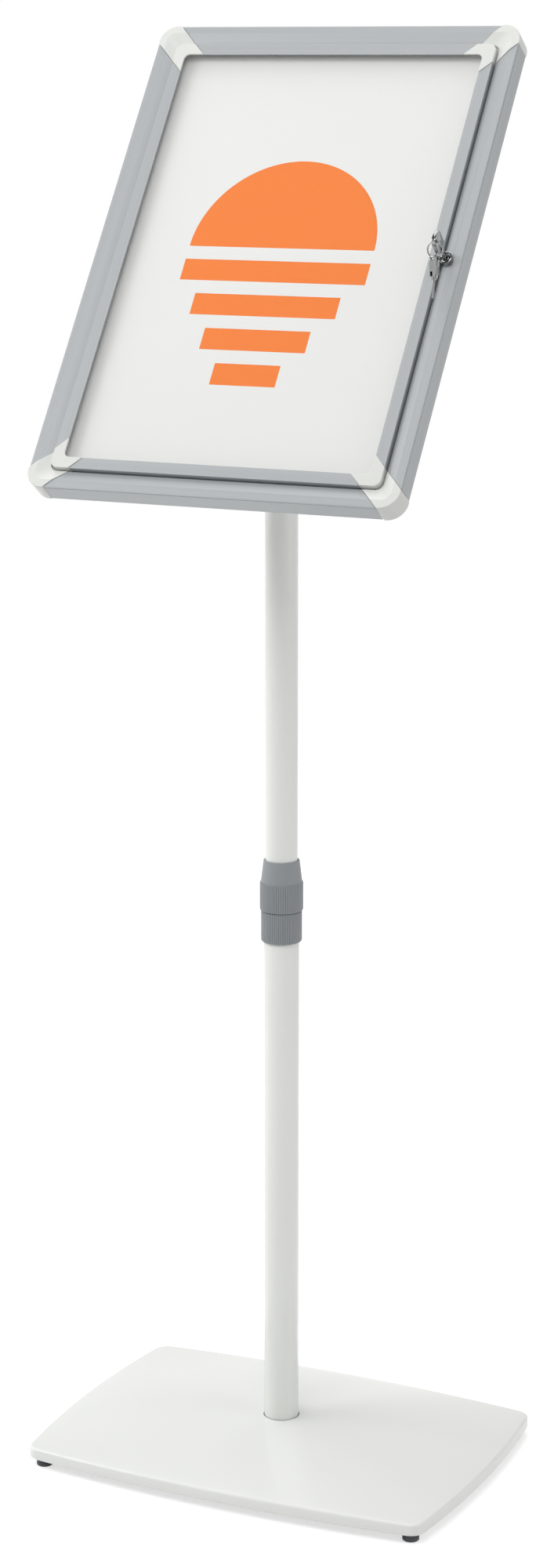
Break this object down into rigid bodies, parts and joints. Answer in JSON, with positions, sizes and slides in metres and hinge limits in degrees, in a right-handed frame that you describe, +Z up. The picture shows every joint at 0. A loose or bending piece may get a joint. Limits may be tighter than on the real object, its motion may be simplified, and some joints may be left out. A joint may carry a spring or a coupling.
{
  "type": "lockable notice board stand",
  "caption": "Floor-standing lockable notice board for one A3 sheet, on a telescopic mast with a crowned steel foot.",
  "frame": {"origin": "on the floor, under the mast's axis, at the middle of the foot", "axes": "+Z up along the mast, the sheet faces -Y and up, +X to the viewer's right"},
  "size_m": [0.4116, 0.2985, 1.2989],
  "materials": {
    "white_paint": "gloss white powder coat",
    "anodised_aluminium": "satin silver anodised",
    "white_plastic": "smooth moulded",
    "grey_plastic": "moulded mid grey",
    "black_plastic": "moulded black",
    "dark_rubber": "matt grey",
    "zinc_steel": "zinc plated",
    "bright_nickel": "polished nickel plate",
    "clear_acrylic": "clear polished sheet",
    "printed_paper": "printed sheet, white with orange",
    "white_board": "matt white foamed board"
  },
  "bodies": {
    "stand": {"base_plate": "white_paint", "foot_front_left": "dark_rubber", "foot_front_right": "dark_rubber", "foot_rear_left": "dark_rubber", "foot_rear_right": "dark_rubber", "socket_disc": "zinc_steel", "tube_insert": "grey_plastic", "base_bolt": "zinc_steel", "lower_tube": "white_paint", "collar_ring": "grey_plastic", "collet": "grey_plastic"},
    "clamp": {"clamp_nut": "grey_plastic"},
    "mast": {"upper_tube": "white_paint", "guide_bush": "grey_plastic", "tilt_tongue": "grey_plastic"},
    "head": {"tilt_bracket": "white_paint", "bracket_screw_1": "zinc_steel", "bracket_screw_2": "zinc_steel", "bracket_screw_3": "zinc_steel", "bracket_screw_4": "zinc_steel", "tilt_bolt": "zinc_steel", "frame_right": "anodised_aluminium", "frame_top": "anodised_aluminium", "frame_left": "anodised_aluminium", "frame_bottom": "anodised_aluminium", "frame_corner_top_right": "white_plastic", "frame_corner_top_left": "white_plastic", "frame_corner_bottom_left": "white_plastic", "frame_corner_bottom_right": "white_plastic", "back_panel": "white_board", "poster": "printed_paper", "hinge_frame_leaf": "anodised_aluminium", "hinge_pin": "zinc_steel", "lock_housing": "bright_nickel"},
    "knob": {"tilt_knob": "black_plastic"},
    "door": {"door_right": "anodised_aluminium", "door_top": "anodised_aluminium", "door_left": "anodised_aluminium", "door_bottom": "anodised_aluminium", "door_corner_top_right": "white_plastic", "door_corner_top_left": "white_plastic", "door_corner_bottom_left": "white_plastic", "door_corner_bottom_right": "white_plastic", "glazing": "clear_acrylic", "hinge_door_leaf": "anodised_aluminium"},
    "plug": {"lock_plug": "bright_nickel", "lock_cam": "zinc_steel", "cam_screw": "zinc_steel"},
    "key": {"key_blade": "bright_nickel", "key_rivet": "zinc_steel"},
    "bow": {"key_bow": "bright_nickel"},
    "ring": {"key_ring": "bright_nickel"},
    "spare_bow": {"spare_key_bow": "bright_nickel", "spare_key_rivet": "zinc_steel"},
    "spare_blade": {"spare_key_blade": "bright_nickel"}
  },
  "joints": [
    {"name": "clamp_turn", "type": "hinge", "parent": "stand", "child": "clamp", "pos_m": [0, 0, 0.545], "axis": [0, 0, 1], "range_deg": [0, 90]},
    {"name": "mast_height", "type": "slide", "parent": "stand", "child": "mast", "axis": [0, 0, 1], "range_m": [-0.19, 0.2]},
    {"name": "board_tilt", "type": "hinge", "parent": "mast", "child": "head", "pos_m": [0, 0, 1.0575], "axis": [1, 0, 0], "range_deg": [-55, 35]},
    {"name": "knob_turn", "type": "hinge", "parent": "head", "child": "knob", "pos_m": [0.0168, 0, 1.0575], "axis": [1, 0, 0], "range_deg": [0, 180]},
    {"name": "door_swing", "type": "hinge", "parent": "head", "child": "door", "pos_m": [-0.15425, -0.01385, 1.10467], "axis": [0, -0.5736, -0.8192], "range_deg": [0, 100]},
    {"name": "lock_turn", "type": "hinge", "parent": "head", "child": "plug", "pos_m": [0.1603, -0.01598, 1.10617], "axis": [0, -0.8192, 0.5736], "range_deg": [-90, 0]},
    {"name": "key_pull", "type": "slide", "parent": "plug", "child": "key", "axis": [0, -0.8192, 0.5736], "range_m": [0, 0.018]},
    {"name": "bow_fold", "type": "hinge", "parent": "key", "child": "bow", "pos_m": [0.1603, -0.02998, 1.11597], "axis": [1, 0, 0], "range_deg": [-60, 0]},
    {"name": "ring_swing", "type": "hinge", "parent": "bow", "child": "ring", "pos_m": [0.1603, -0.04332, 1.12294], "axis": [1, 0, 0], "range_deg": [-60, 0]},
    {"name": "spare_swing", "type": "hinge", "parent": "ring", "child": "spare_bow", "pos_m": [0.1621, -0.04332, 1.10885], "axis": [1, 0, 0], "range_deg": [-40, 0]},
    {"name": "spare_fold", "type": "hinge", "parent": "spare_bow", "child": "spare_blade", "pos_m": [0.1621, -0.04655, 1.09417], "axis": [1, 0, 0], "range_deg": [-60, 0]}
  ]
}
